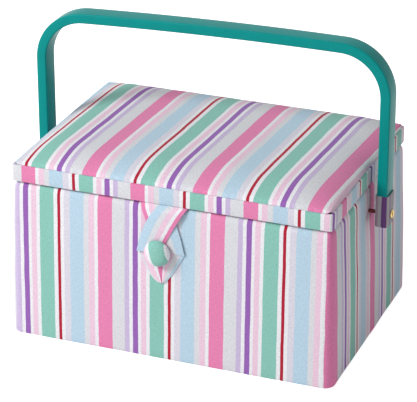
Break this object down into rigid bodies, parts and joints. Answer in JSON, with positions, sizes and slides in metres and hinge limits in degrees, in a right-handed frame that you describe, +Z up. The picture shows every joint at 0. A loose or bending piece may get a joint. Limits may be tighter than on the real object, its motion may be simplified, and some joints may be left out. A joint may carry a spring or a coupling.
{
  "type": "sewing box",
  "caption": "Rectangular cloth-covered sewing box with a padded hinged lid, a swing handle, a button-and-loop fastening and a lift-out tray.",
  "frame": {"origin": "middle of the carcass on its underside, which is the surface it stands on", "axes": "+X to the right along the long side, +Y to the hinged back, +Z up"},
  "size_m": [0.2958, 0.1983, 0.2423],
  "materials": {
    "striped_cloth": "striped cotton",
    "lining_cloth": "plain cotton",
    "cushion_cloth": "plain cotton",
    "base_cloth": "felt",
    "wadding": "soft fibre",
    "ribbon": "woven ribbon",
    "card": "grey board",
    "handle_plastic": "satin moulded",
    "tray_plastic": "moulded",
    "washer_plastic": "moulded",
    "brass": "polished"
  },
  "bodies": {
    "box": {"base_cover": "base_cloth", "base_board": "card", "wall_wrap": "striped_cloth", "floor_lining": "lining_cloth", "hinge_cloth": "striped_cloth", "closure_button": "striped_cloth", "button_shank": "washer_plastic", "front_wall": "card", "front_wadding": "wadding", "front_lining": "lining_cloth", "back_wall": "card", "back_wadding": "wadding", "back_lining": "lining_cloth", "left_wall": "card", "left_wadding": "wadding", "left_lining": "lining_cloth", "right_wall": "card", "right_wadding": "wadding", "right_lining": "lining_cloth", "left_tray_ledge": "lining_cloth", "left_lid_stay": "ribbon", "right_tray_ledge": "lining_cloth", "right_lid_stay": "ribbon"},
    "lid": {"lid_board": "card", "lid_rim_band": "striped_cloth", "lid_pad": "wadding", "lid_cover": "striped_cloth", "lid_lining": "lining_cloth", "lid_pocket": "lining_cloth", "pocket_elastic": "ribbon", "pin_cushion": "cushion_cloth", "lid_front_rim": "card", "lid_back_rim": "card", "lid_left_rim": "card", "lid_right_rim": "card"},
    "loop": {"closure_loop": "striped_cloth"},
    "pivots": {"left_pivot_rivet": "brass", "left_pivot_washer": "washer_plastic", "right_pivot_rivet": "brass", "right_pivot_washer": "washer_plastic"},
    "handle": {"handle_bail": "handle_plastic", "left_cuff": "striped_cloth", "right_cuff": "striped_cloth"},
    "tray": {"tray": "tray_plastic"}
  },
  "joints": [
    {"name": "lid_hinge", "type": "hinge", "parent": "box", "child": "lid", "pos_m": [0, 0.0916, 0.129], "axis": [-1, 0, 0], "range_deg": [0, 100], "deforming": ["hinge_cloth", "left_lid_stay", "right_lid_stay", "closure_loop"]},
    {"name": "loop_lift", "type": "hinge", "parent": "lid", "child": "loop", "pos_m": [-0.0065, -0.0916, 0.129], "axis": [-1, 0, 0], "range_deg": [0, 95], "deforming": ["closure_loop"]},
    {"name": "pin_turn", "type": "hinge", "parent": "box", "child": "pivots", "pos_m": [0, 0, 0.1075], "axis": [-1, 0, 0], "range_deg": [0, 80]},
    {"name": "handle_swing", "type": "hinge", "parent": "pivots", "child": "handle", "pos_m": [0, 0, 0.1075], "axis": [-1, 0, 0], "range_deg": [-119, 39]},
    {"name": "tray_lift", "type": "slide", "parent": "box", "child": "tray", "axis": [0, 0, 1], "range_m": [0, 0.012]}
  ],
  "couplings": [
    {"joint": "pin_turn", "follows": "lid_hinge", "ratio": 0.8}
  ]
}
